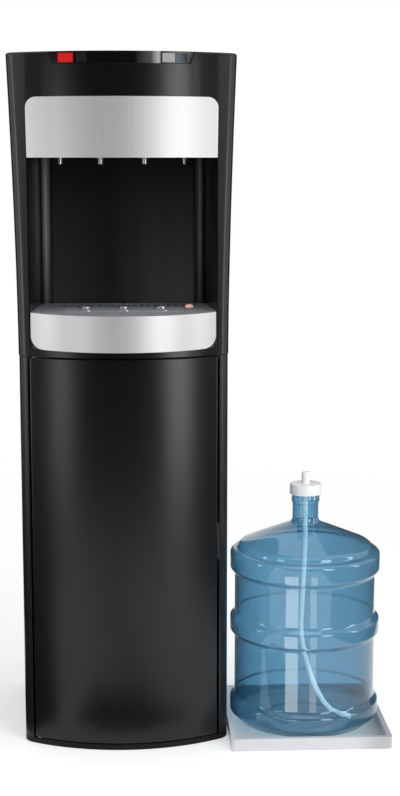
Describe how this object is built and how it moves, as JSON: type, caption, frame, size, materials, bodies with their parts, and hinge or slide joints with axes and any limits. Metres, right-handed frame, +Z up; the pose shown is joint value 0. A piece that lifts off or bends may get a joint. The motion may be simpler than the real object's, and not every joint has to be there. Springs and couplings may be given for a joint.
{
  "type": "bottom load water cooler",
  "caption": "Tall bowed-front water cooler with an open dispensing alcove over a hinged lower door, rear coil, push buttons and drip tray, and a bottle on a loose floor tray beside it.",
  "frame": {"origin": "on the floor under the cabinet's middle, at the centre of the base pan's width, 165 mm in front of the rear panel", "axes": "+Z up, -Y out of the door and the alcove, +X to the right seen from the front, towards the loose bottle"},
  "size_m": [0.6117, 0.3846, 1.11],
  "materials": {
    "plinth_black": "matt moulded",
    "cabinet_steel": "satin black powder coat",
    "rear_steel": "matt black paint",
    "galvanised": "zinc coated sheet",
    "door_black": "satin black",
    "liner_grey": "matt moulded",
    "shell_black": "satin black",
    "brushed_trim": "vertical brushed",
    "display_gloss": "gloss black",
    "window_red": "gloss, printed red",
    "window_dark": "gloss, unlit",
    "window_grey": "gloss, printed grey",
    "window_blue": "gloss, unlit dark blue",
    "alcove_black": "satin black",
    "back_gloss": "gloss black",
    "spout_metal": "polished",
    "deck_grey": "fine satin grain",
    "plate_grey": "satin",
    "button_chrome": "polished",
    "safety_orange": "lit translucent",
    "board_green": "solder mask",
    "grille_grey": "satin",
    "machine_black": "black enamel",
    "stainless": "mill",
    "white_plastic": "moulded",
    "foam_white": "beaded foam",
    "pump_black": "moulded",
    "silicone_clear": "translucent",
    "switch_red": "gloss",
    "switch_green": "gloss",
    "inlet_black": "satin",
    "tray_grey": "moulded satin",
    "bottle_blue": "clear tinted",
    "cap_white": "moulded",
    "tube_clear": "translucent"
  },
  "bodies": {
    "cabinet": {"base_pan": "plinth_black", "right_side_panel": "cabinet_steel", "left_side_panel": "cabinet_steel", "rear_panel": "rear_steel", "machine_shelf": "galvanised", "door_catch": "galvanised", "hinge_pin_lower": "galvanised", "hinge_pin_upper": "galvanised", "head_fascia": "shell_black", "right_head_cover": "shell_black", "left_head_cover": "shell_black", "lid": "shell_black", "upper_trim_plate": "brushed_trim", "display_strip": "display_gloss", "hot_window": "window_red", "heating_window": "window_dark", "cold_window": "window_grey", "cooling_window": "window_blue", "right_alcove_wall": "alcove_black", "left_alcove_wall": "alcove_black", "alcove_back_panel": "back_gloss", "alcove_ceiling": "alcove_black", "spout_1": "spout_metal", "spout_2": "spout_metal", "spout_3": "spout_metal", "spout_4": "spout_metal", "basin_body": "alcove_black", "basin_front": "brushed_trim", "deck": "deck_grey", "control_plate": "plate_grey", "button_board": "board_green", "compressor": "machine_black", "compressor_mount": "galvanised", "condenser": "machine_black", "hot_tank": "stainless", "cold_tank": "stainless", "cold_tank_foam": "foam_white", "tank_shelf": "galvanised", "valve_manifold": "white_plastic", "water_pump": "pump_black", "feed_tube": "silicone_clear", "hot_tube": "silicone_clear", "control_board": "board_green", "power_inlet": "inlet_black"},
    "door": {"door_skin": "door_black", "door_liner": "liner_grey", "door_strike": "galvanised"},
    "cold_button_cap": {"cold_button": "button_chrome"},
    "room_button_cap": {"room_button": "button_chrome"},
    "hot_button_cap": {"hot_button": "button_chrome"},
    "safety_button_cap": {"safety_button": "safety_orange"},
    "tray": {"drip_tray": "alcove_black"},
    "grille": {"drip_grille": "grille_grey"},
    "hot_rocker": {"hot_switch": "switch_red"},
    "cold_rocker": {"cold_switch": "switch_green"},
    "drain_plug": {"drain_cap": "white_plastic"},
    "floor_tray": {"bottle_tray": "tray_grey"},
    "bottle": {"water_bottle": "bottle_blue", "probe_cap": "cap_white", "dip_tube": "tube_clear"}
  },
  "joints": [
    {"name": "door_hinge", "type": "hinge", "parent": "cabinet", "child": "door", "pos_m": [-0.1405, -0.13307, 0.3], "axis": [0, 0, -1], "range_deg": [0, 110]},
    {"name": "cold_press", "type": "slide", "parent": "cabinet", "child": "cold_button_cap", "axis": [0, 0, -1], "range_m": [0, 0.0025], "stiffness_N_per_m": 600, "springref_m": -0.002},
    {"name": "room_press", "type": "slide", "parent": "cabinet", "child": "room_button_cap", "axis": [0, 0, -1], "range_m": [0, 0.0025], "stiffness_N_per_m": 600, "springref_m": -0.002},
    {"name": "hot_press", "type": "slide", "parent": "cabinet", "child": "hot_button_cap", "axis": [0, 0, -1], "range_m": [0, 0.0025], "stiffness_N_per_m": 600, "springref_m": -0.002},
    {"name": "safety_press", "type": "slide", "parent": "cabinet", "child": "safety_button_cap", "axis": [0, 0, -1], "range_m": [0, 0.002], "stiffness_N_per_m": 600, "springref_m": -0.002},
    {"name": "tray_lift", "type": "slide", "parent": "cabinet", "child": "tray", "axis": [0, 0, 1], "range_m": [0, 0.06]},
    {"name": "grille_lift", "type": "slide", "parent": "tray", "child": "grille", "axis": [0, 0, 1], "range_m": [0, 0.12]},
    {"name": "hot_switch_rock", "type": "hinge", "parent": "cabinet", "child": "hot_rocker", "pos_m": [-0.138, 0.1635, 1.072], "axis": [1, 0, 0], "range_deg": [-7, 7]},
    {"name": "cold_switch_rock", "type": "hinge", "parent": "cabinet", "child": "cold_rocker", "pos_m": [-0.108, 0.1635, 1.072], "axis": [1, 0, 0], "range_deg": [-7, 7]},
    {"name": "drain_cap_off", "type": "slide", "parent": "cabinet", "child": "drain_plug", "axis": [0, 1, 0], "range_m": [0, 0.04]},
    {"name": "floor_tray_move", "type": "slide", "parent": "cabinet", "child": "floor_tray", "axis": [0, -1, 0], "range_m": [0, 0.3]},
    {"name": "bottle_lift", "type": "slide", "parent": "floor_tray", "child": "bottle", "axis": [0, 0, 1], "range_m": [0, 0.2]}
  ]
}
